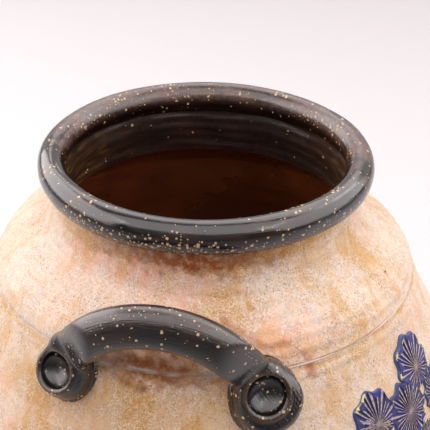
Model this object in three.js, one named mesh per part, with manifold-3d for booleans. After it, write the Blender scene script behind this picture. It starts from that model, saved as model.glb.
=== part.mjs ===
// A hand-thrown stoneware fermenting crock, in millimetres, +Z up.
// The origin is the centre of the foot, on the surface that the crock stands on.
// The front lug handle is centred on -Y and the back one on +Y.
// A level given "below the rim" is measured down from the centre of the rolled rim.

import * as THREE from 'three';
import { mergeVertices } from 'three/addons/utils/BufferGeometryUtils.js';
import Module from 'manifold-3d';

const wasm = await Module();
wasm.setup();

// ---- driving dimensions -------------------------------------------------

const HEIGHT = 345;               // foot to the top of the rim
const TURNING_STEPS = 60;         // facets round a thrown section
const RIM_STEPS = 72;
const GAP = 0.3;                  // clearance left between two pieces that touch

const RIM_RADIUS = 82.3;          // centre of the roll
const RIM_HALF_WIDTH = 7.7;
const RIM_HALF_HEIGHT = 9.3;
const RIM_SEAT = 7;               // the roll is cut flat this far below its centre
const RIM_LEVEL = HEIGHT - RIM_HALF_HEIGHT;

const SEAM_BELOW_RIM = 57.8;      // the incised groove where two thrown sections meet
const SEAM_RADIUS = 117.4;
const NECK_BELOW_RIM = 30;        // where the neck rises from the shoulder
const GROOVE_DEPTH = 1.7;
const GROOVE_HALF_WIDTH = 1.1;

const WALL = 8;
const THROAT_RADIUS = 79.2;       // the mouth at its inner lip, under the neck
const LIP_BELOW_RIM = 33;
const FLOOR = 12;                 // thickness of the base
const FOOT_RADIUS = 90;
const FOOT_RECESS_RADIUS = 77;
const FOOT_RECESS = 3;
const FOOT_BEVEL = 4;

const HANDLE_PAD_AZIMUTH = 23.8;  // degrees either side of the handle's centre
const PAD_BELOW_RIM = 65.7;
const PAD_RADIUS = 17.6;
const PAD_HEIGHT = 9.6;
const DIMPLE_RADIUS = 9.6;
const DIMPLE_DEPTH = 6.4;
const PAD_ROOT = 8;               // how far a pad's blank reaches into the body before it is cut
const STRAP_WIDTH = 21.2;
const STRAP_THICKNESS = 16;
const STRAP_HALF_SPAN = 46;
const STRAP_FOOT_BELOW_RIM = 64.4;
const STRAP_TOP_BELOW_RIM = 22.5;
const STRAP_FOOT_OUT = 114;       // from the crock's axis
const STRAP_TOP_OUT = 128;

const WEIGHT_RADIUS = 66;         // the two half-moons together pass through the mouth
const WEIGHT_THICKNESS = 18;
const WEIGHT_HALF_GAP = 1.5;      // from the centre line to each straight edge
const WEIGHT_HOLE_RADIUS = 11;
const WEIGHT_BEVEL = 1.5;

const BLOSSOM_RELIEF = 1.6;       // thickness of an applied clay blossom

const belowRim = (distance) => RIM_LEVEL - distance;
const radians = THREE.MathUtils.degToRad;
const SEAM_LEVEL = belowRim(SEAM_BELOW_RIM);

// ---- materials ----------------------------------------------------------

const material = (color, roughness) => new THREE.MeshStandardMaterial({ color, roughness, metalness: 0 });

const saltGlaze = material('#d9b795', 0.45);
const blackGlaze = material('#1b1613', 0.18);
const cobaltSlip = material('#2b347c', 0.4);
const bareStoneware = material('#b99877', 0.85);

// ---- profiles -----------------------------------------------------------

const point = (radius, level) => new THREE.Vector2(radius, level);

// The lower section's outside, from the foot up to the seam.
const bellyCurve = new THREE.SplineCurve([
  point(FOOT_RADIUS + 2.5, FOOT_BEVEL),
  point(116.5, 52),
  point(139.5, 110),
  point(149.6, 165),
  point(147.2, 207),
  point(137.2, 236),
  point(126.2, 257.4),
  point(SEAM_RADIUS, SEAM_LEVEL - GROOVE_HALF_WIDTH),
]);

// The shoulder's outside, a quarter-round dome from the seam up to the neck.
const shoulderCurve = new THREE.SplineCurve([
  point(SEAM_RADIUS - 0.5, SEAM_LEVEL + GROOVE_HALF_WIDTH),
  point(114.3, belowRim(50.8)),
  point(108.4, belowRim(43.6)),
  point(99, belowRim(36.8)),
  point(88.6, belowRim(NECK_BELOW_RIM)),
]);

// The neck's outside, a short hollow curve that runs up under the roll.
const neckCurve = new THREE.SplineCurve([
  point(88.6, belowRim(NECK_BELOW_RIM)),
  point(85.6, belowRim(23)),
  point(84.4, belowRim(15)),
  point(84.2, belowRim(RIM_SEAT) - GAP),
]);

// The neck's inside, from the sharp inner lip up to the roll.
const throatCurve = new THREE.SplineCurve([
  point(THROAT_RADIUS, belowRim(LIP_BELOW_RIM)),
  point(THROAT_RADIUS - 0.6, belowRim(25)),
  point(THROAT_RADIUS - 2.2, belowRim(16)),
  point(THROAT_RADIUS - 1.8, belowRim(RIM_SEAT) - GAP),
]);

// A curve's points moved in by the wall's thickness.
function inset(curve, steps) {
  return Array.from({ length: steps + 1 }, (_, i) => {
    const spot = curve.getPoint(i / steps);
    const tangent = curve.getTangent(i / steps);
    return point(spot.x - WALL * tangent.y, spot.y + WALL * tangent.x);
  });
}

// ---- geometry helpers ---------------------------------------------------

// Turns a closed profile of (radius, level) points about Z.
function turned(profile, steps = TURNING_STEPS) {
  const onAxis = profile[0].x === 0;
  return new THREE.LatheGeometry(onAxis ? profile : [...profile, profile[0]], steps).rotateX(Math.PI / 2);
}

function toSolid(geometry) {
  const bare = geometry.clone();
  bare.deleteAttribute('normal');
  bare.deleteAttribute('uv');
  const merged = mergeVertices(bare, 1e-4);
  return new wasm.Manifold(new wasm.Mesh({
    numProp: 3,
    vertProperties: new Float32Array(merged.attributes.position.array),
    triVerts: new Uint32Array(merged.index.array),
  }));
}

function toGeometry(solid) {
  const mesh = solid.getMesh();
  const geometry = new THREE.BufferGeometry();
  geometry.setAttribute('position', new THREE.BufferAttribute(mesh.vertProperties, 3));
  geometry.setIndex(new THREE.BufferAttribute(mesh.triVerts, 1));
  geometry.computeVertexNormals();
  return geometry;
}

// What is left of a solid once the crumbs of a cut are dropped.
const largestPiece = (solid) => solid.decompose().sort((a, b) => b.volume() - a.volume())[0];

// Radius and slope (radius per level) of the outside surface at a level.
const outsidePoints = [...bellyCurve.getPoints(40), ...shoulderCurve.getPoints(12)];
function outside(level) {
  const above = outsidePoints.findIndex((p) => p.y > level);
  const [low, high] = [outsidePoints[above - 1], outsidePoints[above]];
  const slope = (high.x - low.x) / (high.y - low.y);
  return { radius: low.x + slope * (level - low.y), slope };
}

// A frame lying on the outside surface: x runs round the body, y up it, and z out of it.
function surfaceFrame(azimuth, level) {
  const { radius, slope } = outside(level);
  const out = new THREE.Vector3(Math.sin(azimuth), -Math.cos(azimuth), 0);
  const round = new THREE.Vector3(Math.cos(azimuth), Math.sin(azimuth), 0);
  const normal = out.clone().addScaledVector(new THREE.Vector3(0, 0, 1), -slope).normalize();
  const up = new THREE.Vector3().crossVectors(normal, round);
  const spot = out.multiplyScalar(radius).setZ(level);
  return new THREE.Matrix4().makeBasis(round, up, normal).setPosition(spot);
}

const group = new THREE.Group();

function add(name, geometry, finish) {
  const mesh = new THREE.Mesh(geometry, finish);
  mesh.name = name;
  group.add(mesh);
  return mesh;
}

// ---- thrown sections ----------------------------------------------------

function lowerBody() {
  return turned([
    point(0, FOOT_RECESS),
    point(FOOT_RECESS_RADIUS, FOOT_RECESS),
    point(FOOT_RECESS_RADIUS + 2, 0),
    point(FOOT_RADIUS, 0),
    ...bellyCurve.getPoints(16),
    point(SEAM_RADIUS - GROOVE_DEPTH, SEAM_LEVEL),
    point(SEAM_RADIUS - WALL, SEAM_LEVEL),
    ...inset(bellyCurve, 13).filter((p) => p.y > FLOOR + WALL && p.y < SEAM_LEVEL - 1).reverse(),
    point(FOOT_RECESS_RADIUS + 4, FLOOR + WALL / 4),
    point(FOOT_RECESS_RADIUS - 6, FLOOR),
    point(0, FLOOR),
  ]);
}

function shoulder() {
  return turned([
    point(SEAM_RADIUS - GROOVE_DEPTH, SEAM_LEVEL + GAP),
    ...shoulderCurve.getPoints(8),
    point(THROAT_RADIUS + 0.4, belowRim(LIP_BELOW_RIM) - 2 * GAP),
    ...inset(shoulderCurve, 6).filter((p) => p.y > SEAM_LEVEL + 1).reverse(),
    point(SEAM_RADIUS - WALL, SEAM_LEVEL + GAP),
  ]);
}

function neck() {
  const foot = belowRim(NECK_BELOW_RIM) + GAP;
  return turned([
    ...neckCurve.getPoints(5).map((p) => point(p.x, Math.max(p.y, foot))),
    ...throatCurve.getPoints(5).reverse(),
  ]);
}

function rimRoll() {
  const steps = 16;
  const seatHalf = Math.acos(RIM_SEAT / RIM_HALF_HEIGHT);
  const roll = Array.from({ length: steps + 1 }, (_, i) => {
    const turn = THREE.MathUtils.lerp(seatHalf, 2 * Math.PI - seatHalf, i / steps) - Math.PI / 2;
    const across = RIM_HALF_WIDTH * Math.cos(turn);
    return point(RIM_RADIUS + across, RIM_LEVEL + RIM_HALF_HEIGHT * Math.sin(turn));
  });
  return turned(roll, RIM_STEPS);
}

add('lower_body', lowerBody(), saltGlaze);
add('shoulder', shoulder(), saltGlaze);
add('neck_collar', neck(), saltGlaze);
add('rim_roll', rimRoll(), blackGlaze);

// ---- lug handles --------------------------------------------------------

// The crock's outside grown by the clearance: what is pressed on it is cut by this.
const CLEARANCE_FOOT = 180;
const bodyClearance = toSolid(turned([
  point(0, CLEARANCE_FOOT),
  ...outsidePoints.filter((p) => p.y > CLEARANCE_FOOT).map((p) => point(p.x + GAP * 1.2, p.y + GAP * 0.4)),
  point(0, belowRim(NECK_BELOW_RIM) + GAP),
]));

const PAD_STEPS = 26;
const PAD_CREST = DIMPLE_RADIUS + 2.6;

const padFlank = new THREE.SplineCurve([
  point(PAD_RADIUS - 1.5, -PAD_ROOT),
  point(PAD_RADIUS, 0),
  point(PAD_RADIUS - 0.7, PAD_HEIGHT * 0.5),
  point(PAD_CREST + 1.8, PAD_HEIGHT * 0.9),
  point(PAD_CREST, PAD_HEIGHT),
]).getPoints(6);

const padDimple = new THREE.SplineCurve([
  point(PAD_CREST, PAD_HEIGHT),
  point(DIMPLE_RADIUS + 0.5, PAD_HEIGHT - 1),
  point(DIMPLE_RADIUS - 1.6, PAD_HEIGHT - DIMPLE_DEPTH + 2),
  point(DIMPLE_RADIUS * 0.5, PAD_HEIGHT - DIMPLE_DEPTH + 0.4),
  point(0, PAD_HEIGHT - DIMPLE_DEPTH),
]).getPoints(6);

function onPadSpot(side, profile) {
  const frame = surfaceFrame(side * radians(HANDLE_PAD_AZIMUTH), belowRim(PAD_BELOW_RIM));
  return toSolid(turned(profile, PAD_STEPS).applyMatrix4(frame));
}

// A round of clay pressed on with the thumb: a domed disc with a dimple.
const pad = (side) => onPadSpot(side, [point(0, -PAD_ROOT), ...padFlank, ...padDimple.slice(1)]);

// The room that a pad and its thumb dimple take out of the strap's end.
const padRoom = (side) => onPadSpot(side, [
  point(0, -PAD_ROOT),
  ...padFlank.map((p) => point(p.x + GAP, p.y)),
  point(PAD_CREST + GAP, 3 * PAD_HEIGHT),
  point(0, 3 * PAD_HEIGHT),
]);

// The pulled strap: an arch that springs from the two pads, out from the body and up.
class StrapCurve extends THREE.Curve {
  getPoint(along) {
    const turn = (along - 0.5) * Math.PI;
    const rise = Math.max(Math.cos(turn), 0);
    return new THREE.Vector3(
      STRAP_HALF_SPAN * Math.sin(turn),
      -THREE.MathUtils.lerp(STRAP_FOOT_OUT, STRAP_TOP_OUT, Math.sqrt(rise)),
      belowRim(THREE.MathUtils.lerp(STRAP_FOOT_BELOW_RIM, STRAP_TOP_BELOW_RIM, rise)),
    );
  }
}

const strapCurve = new StrapCurve();

function strap() {
  const steps = 26;
  const sides = 14;
  const tube = new THREE.CylinderGeometry(1, 1, 1, sides, steps);
  const spots = tube.attributes.position;
  const axisOut = new THREE.Vector3(0, -1, 0);
  for (let i = 0; i < spots.count; i += 1) {
    const along = THREE.MathUtils.clamp(spots.getY(i) + 0.5, 0, 1);
    const centre = strapCurve.getPoint(along);
    const tangent = strapCurve.getTangent(along);
    const outward = new THREE.Vector3(centre.x, centre.y, 0).normalize().lerp(axisOut, 0.3);
    outward.addScaledVector(tangent, -outward.dot(tangent)).normalize();
    const across = new THREE.Vector3().crossVectors(tangent, outward);
    centre.addScaledVector(across, spots.getX(i) * STRAP_WIDTH / 2);
    centre.addScaledVector(outward, spots.getZ(i) * STRAP_THICKNESS / 2);
    spots.setXYZ(i, centre.x, centre.y, centre.z);
  }
  return toSolid(tube);
}

function handle(name, turn) {
  const sides = { left: -1, right: 1 };
  let bar = strap().subtract(bodyClearance);
  for (const [side, sign] of Object.entries(sides)) {
    bar = bar.subtract(padRoom(sign));
    const pressed = toGeometry(pad(sign).subtract(bodyClearance));
    add(`${name}_handle_pad_${side}`, pressed, blackGlaze).rotation.z = turn;
  }
  add(`${name}_handle_strap`, toGeometry(largestPiece(bar)), blackGlaze).rotation.z = turn;
}

handle('front', 0);
handle('back', Math.PI);

// ---- applied blossoms ---------------------------------------------------

// Each blossom: hub azimuth (degrees), hub level below the rim, direction it opens
// (degrees anticlockwise from the horizontal), radius ahead of the hub and behind it, petals.
const BLOSSOMS = [
  [69.2, 88, 95, 19.5, 10, 9],
  [61.8, 103, 100, 17.5, 14, 11],
  [51.3, 98, 100, 18.5, 10, 9],
  [73, 107, 10, 17, 10, 10],
  [53.5, 117, 215, 17, 10, 9],
  [65, 122, 280, 17, 10, 10],
];

function blossom([azimuth, below, opens, ahead, behind, petals], grow = 0) {
  const ring = [0.5, 1];
  const base = -BLOSSOM_RELIEF / 2 - grow;
  const disc = new THREE.LatheGeometry([
    point(0, base),
    ...ring.map((r) => point(r, base)),
    ...ring.toReversed().map((r) => point(r, -base)),
    point(0, -base),
  ], petals * 4).rotateX(Math.PI / 2);
  const spots = disc.attributes.position;
  const { radius } = outside(belowRim(below));
  const facing = radians(opens);
  for (let i = 0; i < spots.count; i += 1) {
    const [x, y, z] = [spots.getX(i), spots.getY(i), spots.getZ(i)];
    const angle = Math.atan2(y, x);
    const share = (1 + Math.cos(angle - facing)) / 2;
    const scallop = 1 + 0.06 * Math.cos(petals * (angle - facing));
    const reach = (behind + (ahead - behind) * share) * scallop + grow;
    const level = belowRim(below) + y * reach * 0.9;
    const frame = surfaceFrame(radians(azimuth) + (x * reach) / radius, level);
    const spot = new THREE.Vector3(0, 0, z + BLOSSOM_RELIEF / 2 + GAP * 1.3).applyMatrix4(frame);
    spots.setXYZ(i, spot.x, spot.y, spot.z);
  }
  return toSolid(disc);
}

// Where two blossoms meet, the later one is trimmed to the earlier one's edge.
BLOSSOMS.forEach((spec, index) => {
  const trim = (left, earlier) => left.subtract(blossom(earlier, GAP));
  const trimmed = BLOSSOMS.slice(0, index).reduce(trim, blossom(spec));
  add(`blossom_${index + 1}`, toGeometry(largestPiece(trimmed)), cobaltSlip);
});

// ---- fermentation weights -----------------------------------------------

function halfMoon() {
  const outline = new THREE.Shape();
  const edge = WEIGHT_HALF_GAP + WEIGHT_BEVEL;
  const radius = WEIGHT_RADIUS - WEIGHT_BEVEL;
  const corner = Math.asin(edge / radius);
  outline.absarc(0, 0, radius, corner, Math.PI - corner, false);
  outline.closePath();
  const hole = new THREE.Path();
  hole.absarc(0, WEIGHT_RADIUS * 0.42, WEIGHT_HOLE_RADIUS + WEIGHT_BEVEL, 0, 2 * Math.PI, true);
  outline.holes.push(hole);
  const slab = new THREE.ExtrudeGeometry(outline, {
    depth: WEIGHT_THICKNESS - 2 * WEIGHT_BEVEL,
    bevelThickness: WEIGHT_BEVEL,
    bevelSize: WEIGHT_BEVEL,
    bevelSegments: 1,
    curveSegments: 18,
  });
  return slab.translate(0, 0, WEIGHT_BEVEL + FLOOR + GAP);
}

add('weight_front', halfMoon(), bareStoneware).rotation.z = Math.PI;
add('weight_back', halfMoon(), bareStoneware);

export default group;
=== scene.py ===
"""A hand-thrown stoneware fermenting crock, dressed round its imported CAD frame.

Shapes are worked out in millimetres and written to meshes in metres.
Azimuth is 0 at the front handle (-Y) and grows towards +X, so 180 degrees is the back handle.
"below" is the distance below the centre of the rolled rim.
"""

import math

import bpy
import numpy as np
from mathutils import Matrix, Vector


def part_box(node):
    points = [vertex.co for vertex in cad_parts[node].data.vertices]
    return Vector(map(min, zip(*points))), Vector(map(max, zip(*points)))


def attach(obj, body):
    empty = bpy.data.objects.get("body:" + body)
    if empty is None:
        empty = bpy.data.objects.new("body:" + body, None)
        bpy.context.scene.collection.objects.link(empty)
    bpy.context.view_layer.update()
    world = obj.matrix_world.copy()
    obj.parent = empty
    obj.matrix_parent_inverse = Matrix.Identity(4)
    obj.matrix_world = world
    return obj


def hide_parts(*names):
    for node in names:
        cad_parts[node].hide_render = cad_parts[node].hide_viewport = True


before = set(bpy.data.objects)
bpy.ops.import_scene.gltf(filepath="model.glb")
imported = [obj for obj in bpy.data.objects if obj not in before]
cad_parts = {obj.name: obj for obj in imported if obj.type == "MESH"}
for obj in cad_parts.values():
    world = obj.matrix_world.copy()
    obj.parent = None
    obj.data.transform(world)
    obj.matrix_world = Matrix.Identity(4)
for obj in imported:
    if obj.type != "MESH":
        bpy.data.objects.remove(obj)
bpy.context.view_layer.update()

MM = 0.001
BODY = "crock"
SHARP_ANGLE = math.radians(38)


def cad_box(node):
    """Lowest and highest corners of a CAD node, in millimetres."""
    low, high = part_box(node)
    return np.array(low) / MM, np.array(high) / MM


# ---- sizes, in millimetres ----

RIM_HALF_WIDTH = 7.7
RIM_HALF_HEIGHT = 9.3
rim_high = cad_box("rim_roll")[1]
RIM_RADIUS = rim_high[0] - RIM_HALF_WIDTH
RIM_LEVEL = rim_high[2] - RIM_HALF_HEIGHT

SEAM_LEVEL = cad_box("lower_body")[1][2]
SEAM_RADIUS = 117.4
GROOVE_HALF_WIDTH = 1.1
NECK_BELOW_RIM = 30
LIP_BELOW_RIM = 33
THROAT_RADIUS = 79.2
WALL = 8
NECK_SKIN = 2.5  # how much of the neck's thickness is drawn up from the shoulder
FLOOR = 12
FOOT_RADIUS = 90
FOOT_RECESS_RADIUS = 77
FOOT_RECESS = 3
FOOT_BEVEL = 4
GRAIN_RADIUS = 100  # round which the grain of thrown clay is laid out

PAD_AZIMUTH = math.radians(23.8)
PAD_BELOW_RIM = 65.7
PAD_FOOT = {-1: 14.6, 1: 17.4}  # radius on the body, left pad and right pad
PAD_SHRINK = {-1: 3.0, 1: 1.6}  # how much narrower it is at its top
PAD_SHIFT = {-1: -0.8, 1: 1.8}  # how far it spreads away from the strap
PAD_SAG = {-1: 0.5, 1: 3.6}  # how far it hangs below its dimple
PAD_HEIGHT = 10.6
DIMPLE_RADIUS = {-1: 9.6, 1: 10.4}
DIMPLE_DEPTH = 7.0
# The knuckle over each pad: how far out sideways, up and off the body, and its radius.
KNUCKLE = {-1: (1.0, 12.5, 4.5, 6.5), 1: (2.5, 10.2, 3.0, 5.5)}
STRAP_WIDTH = 21.2
STRAP_THICKNESS = 16
STRAP_THINNING = 3.4  # taken off half its thickness where it runs into a pad
STRAP_END = 8.0  # length of its rounded end, inside the pad
STRAP_NARROWING = 2.2  # taken off half its width there
STRAP_DROP = 7.0  # how far it sinks towards the body there
STRAP_TILT = 0.2  # how far its face leans back
STRAP_SQUARENESS = 2.3  # of its section: 2 is an ellipse, and more is closer to a rectangle
STRAP_HALF_SPAN = 46
STRAP_LENGTH = 150
STRAP_HALF_TURN = 0.465  # half turns of its arch on each side of the middle
STRAP_FOOT_BELOW_RIM = 64.4
STRAP_TOP_BELOW_RIM = 22.5
STRAP_FOOT_OUT = 114
STRAP_TOP_OUT = 128

BLOSSOM_RELIEF = 1.6
WEIGHT_RADIUS = 66
WEIGHT_THICKNESS = 18
WEIGHT_HALF_GAP = 1.5
WEIGHT_HOLE_RADIUS = 11
WEIGHT_HOLE_CENTRE = WEIGHT_RADIUS * 0.42
WEIGHT_LEVEL = cad_box("weight_front")[0][2]


def below_rim(distance):
    return RIM_LEVEL - distance


# ---- numbers and lines ----


def unit(vectors):
    return vectors / np.linalg.norm(vectors, axis=-1, keepdims=True)


def soft_step(value, low, high):
    """Rises smoothly from 0 at low to 1 at high."""
    share = np.clip((value - low) / (high - low), 0, 1)
    return share * share * (3 - 2 * share)


def hump(value, centre, width):
    """1 at the centre, falling off smoothly on both sides of it."""
    return np.exp(-(((value - centre) / width) ** 2))


def lengths_along(line):
    """The distance from a line's start to each of its points."""
    return np.concatenate([[0], np.cumsum(np.hypot(*np.diff(line, axis=0).T))])


def direction(azimuth, elevation):
    """A unit vector out from the axis, from angles in radians."""
    flat = math.cos(elevation)
    return Vector((math.sin(azimuth) * flat, -math.cos(azimuth) * flat, math.sin(elevation)))


def spline(points, steps):
    """A Catmull-Rom curve through (radius, level) points."""
    ends = np.array([points[0], *points, points[-1]], float)
    share = np.arange(steps)[:, None] / steps
    runs = []
    for before, start, stop, after in zip(ends, ends[1:], ends[2:], ends[3:]):
        leave, arrive = (stop - before) / 2, (after - start) / 2
        cubic = 2 * start - 2 * stop + leave + arrive
        square = -3 * start + 3 * stop - 2 * leave - arrive
        runs.append(cubic * share**3 + square * share**2 + leave * share + start)
    return np.vstack([*runs, ends[-1:]])


def respaced(points, spacing):
    """The same line with points about that far apart."""
    points = np.array(points, float)
    along = lengths_along(points)
    stops = np.linspace(0, along[-1], max(int(round(along[-1] / spacing)), 1) + 1)
    return np.stack([np.interp(stops, along, points[:, k]) for k in (0, 1)], 1)


def inset(points, depth):
    """The outside line moved into the clay by depth."""
    tangent = unit(np.gradient(points, axis=0))
    return points + depth * np.stack([-tangent[:, 1], tangent[:, 0]], 1)


def joined(*runs):
    """Runs of points end to end, without repeated points."""
    points = np.vstack(runs)
    apart = np.hypot(*np.diff(points, axis=0).T) > 1e-4
    return points[np.concatenate([[True], apart])]


# ---- profiles ----

belly_line = spline([
    (FOOT_RADIUS + 2.5, FOOT_BEVEL),
    (116.5, 52),
    (139.5, 110),
    (149.6, 165),
    (147.2, 207),
    (137.2, 236),
    (126.2, 257.4),
    (SEAM_RADIUS, SEAM_LEVEL - GROOVE_HALF_WIDTH),
], 24)

shoulder_line = spline([
    (SEAM_RADIUS - 0.5, SEAM_LEVEL + GROOVE_HALF_WIDTH),
    (114.3, below_rim(50.8)),
    (108.4, below_rim(43.6)),
    (99, below_rim(36.8)),
    (88.6, below_rim(NECK_BELOW_RIM)),
], 16)

neck_line = spline([
    (88.6, below_rim(NECK_BELOW_RIM)),
    (85.6, below_rim(23)),
    (84.4, below_rim(15)),
    (83.6, below_rim(5)),
], 12)

throat_line = spline([
    (THROAT_RADIUS, below_rim(LIP_BELOW_RIM)),
    (THROAT_RADIUS - 0.6, below_rim(25)),
    (THROAT_RADIUS - 2.2, below_rim(16)),
    (THROAT_RADIUS - 1.4, below_rim(5)),
], 12)

outside_line = joined(belly_line, shoulder_line, neck_line)
outside_lengths = lengths_along(outside_line)


def outside_radius(level):
    return np.interp(level, outside_line[:, 1], outside_line[:, 0])


def outside_slope(level):
    """How much the radius grows for each millimetre up."""
    return (outside_radius(level + 1) - outside_radius(level - 1)) / 2


def up_from_seam(level):
    """Distance up the outside surface from the seam, negative below it."""
    at_seam = np.interp(SEAM_LEVEL, outside_line[:, 1], outside_lengths)
    return np.interp(level, outside_line[:, 1], outside_lengths) - at_seam


# ---- mesh helpers ----


def waves(points, size, seed, count=14):
    """Smooth random variation over points, mostly between -1 and 1, with humps of about that size."""
    draw = np.random.default_rng(seed)
    headings = unit(draw.normal(size=(count, 3)))
    turns = 2 * math.pi / (size * draw.uniform(0.7, 1.5, count))
    phases = draw.uniform(0, 2 * math.pi, count)
    total = np.zeros(points.shape[:-1])
    for heading, turn, phase in zip(headings, turns, phases):
        total += np.cos(points @ (heading * turn) + phase)
    return total / math.sqrt(count)


def round_points(radius, azimuth, level):
    """Positions from cylinder coordinates."""
    flat = np.broadcast_arrays(radius * np.sin(azimuth), -radius * np.cos(azimuth), level)
    return np.stack(flat, -1)


def azimuth_of(points):
    return np.arctan2(points[..., 0], -points[..., 1])


def new_object(name, data):
    made = bpy.data.objects.new(name, data)
    bpy.context.scene.collection.objects.link(made)
    return made


def make_piece(name, points, faces, body, materials, face_slots=None):
    """A smooth-shaded object from points in millimetres that rides on a body."""
    mesh = bpy.data.meshes.new(name)
    mesh.from_pydata((points * MM).tolist(), [], faces)
    mesh.validate()
    mesh.polygons.foreach_set("use_smooth", np.ones(len(mesh.polygons), bool))
    mesh.set_sharp_from_angle(angle=SHARP_ANGLE)
    for material in materials:
        mesh.materials.append(material)
    if face_slots is not None:
        mesh.polygons.foreach_set("material_index", np.asarray(face_slots, np.int32))
    piece = new_object(name, mesh)
    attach(piece, body)
    return piece


def paint(piece, name, values):
    """Stores one number or one vector for each vertex, for the materials to read."""
    values = np.asarray(values, np.float32)
    kind, key = ("FLOAT", "value") if values.ndim == 1 else ("FLOAT_VECTOR", "vector")
    layer = piece.data.attributes.new(name, kind, "POINT")
    layer.data.foreach_set(key, values.ravel())


def paint_grain(piece, points, along):
    """Lays the glaze's grain out round the axis, at one radius for the whole pot."""
    paint(piece, "grain", round_points(GRAIN_RADIUS, azimuth_of(points), along) * MM)


def lathe(name, profile, columns, relief, materials, row_slots=None):
    """Turns a profile about the axis; relief gives how far each point stands off it.

    A profile that starts and ends on the axis is capped there, and any other is closed on itself.
    row_slots gives the material of each row, where there is more than one.
    Returns the piece, its points, and each point's distance along the profile.
    """
    capped = profile[0, 0] == 0
    rows = len(profile)
    ahead, behind = np.roll(profile, -1, 0), np.roll(profile, 1, 0)
    if capped:
        ahead[-1], behind[0] = profile[-1], profile[0]
    tangent = unit(ahead - behind)
    normal = np.stack([tangent[:, 1], -tangent[:, 0]], 1)
    azimuth = np.arange(columns) * 2 * math.pi / columns
    along = lengths_along(profile)
    base = round_points(profile[:, :1], azimuth[None], profile[:, 1:])
    off = relief(base, profile, normal, azimuth)
    radius = profile[:, :1] + off * normal[:, :1]
    level = profile[:, 1:] + off * normal[:, 1:]
    points = round_points(radius, azimuth[None], level)

    grid = np.arange(rows * columns).reshape(rows, columns)
    if capped:
        # The first row and the last one are one point each.
        grid = np.clip(grid - columns + 1, 0, (rows - 2) * columns + 1)
        lower, upper = grid[:-1], grid[1:]
    else:
        lower, upper = grid, np.roll(grid, -1, 0)
    corners = np.stack([lower, np.roll(lower, -1, 1), np.roll(upper, -1, 1), upper], -1)
    faces = [list(dict.fromkeys(face)) for face in corners.reshape(-1, 4).tolist()]
    slots = None if row_slots is None else np.repeat(row_slots[: len(lower)], columns)
    first_use = np.unique(grid, return_index=True)[1]
    points = points.reshape(-1, 3)[first_use]
    along = np.repeat(along, columns)[first_use]
    piece = make_piece(name, points, faces, BODY, materials, slots)
    return piece, points, along


def surface_net(field, low, high, step):
    """The closed surface on which field(points) is zero; the field is negative inside."""
    counts = [int(math.ceil((b - a) / step)) + 1 for a, b in zip(low, high)]
    axes = [a + step * np.arange(n) for a, n in zip(low, counts)]
    lattice = np.stack(np.meshgrid(*axes, indexing="ij"), -1)
    value = field(lattice).astype(np.float32)
    inside = value < 0
    corner = [(i, j, k) for i in (0, 1) for j in (0, 1) for k in (0, 1)]

    def shifted(array, offset):
        return array[tuple(slice(o, o + n - 1) for o, n in zip(offset, counts))]

    total = sum(shifted(inside, c).astype(np.int8) for c in corner)
    mixed = (total > 0) & (total < 8)
    cells = np.argwhere(mixed)
    number = np.full(mixed.shape, -1, np.int64)
    number[mixed] = np.arange(len(cells))
    sums = np.zeros((len(cells), 3))
    hits = np.zeros(len(cells))
    at = tuple(cells.T)
    for a in corner:
        for axis in range(3):
            if a[axis]:
                continue
            b = tuple(v + (k == axis) for k, v in enumerate(a))
            start, stop = shifted(value, a)[at], shifted(value, b)[at]
            crosses = (start < 0) != (stop < 0)
            share = np.where(crosses, start / np.where(crosses, start - stop, 1), 0)
            spot = np.tile(np.array(a, float), (len(cells), 1))
            spot[:, axis] += share
            sums += np.where(crosses[:, None], spot, 0)
            hits += crosses
    points = np.array(low) + step * (cells + sums / hits[:, None])
    quads = []
    for axis in range(3):
        u, v = (axis + 1) % 3, (axis + 2) % 3
        inner = [slice(1, n - 1) for n in counts]
        inner[axis] = slice(0, counts[axis] - 1)
        upper = list(inner)
        upper[axis] = slice(1, counts[axis])
        start, stop = inside[tuple(inner)], inside[tuple(upper)]
        edges = np.argwhere(start != stop)
        outward = start[tuple(edges.T)]
        base = edges + np.array([0 if k == axis else 1 for k in range(3)])

        def cell(du, dv):
            spot = base.copy()
            spot[:, u] -= du
            spot[:, v] -= dv
            return number[tuple(spot.T)]

        ring = np.stack([cell(1, 1), cell(0, 1), cell(0, 0), cell(1, 0)], 1)
        quads.append(np.where(outward[:, None], ring, ring[:, ::-1]))
    return points, np.vstack(quads)


def smooth_min(a, b, blend):
    """The union of two fields, with a fillet."""
    overlap = np.clip(blend - np.abs(a - b), 0, None) / blend
    return np.minimum(a, b) - overlap**2 * blend / 4


def smooth_max(a, b, blend):
    return -smooth_min(-a, -b, blend)


# ---- node helpers ----


def srgb(*levels):
    """A linear colour from 0 to 255 display levels."""
    shares = [level / 255 for level in levels]
    return [s / 12.92 if s < 0.04045 else ((s + 0.055) / 1.055) ** 2.4 for s in shares] + [1]


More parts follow.
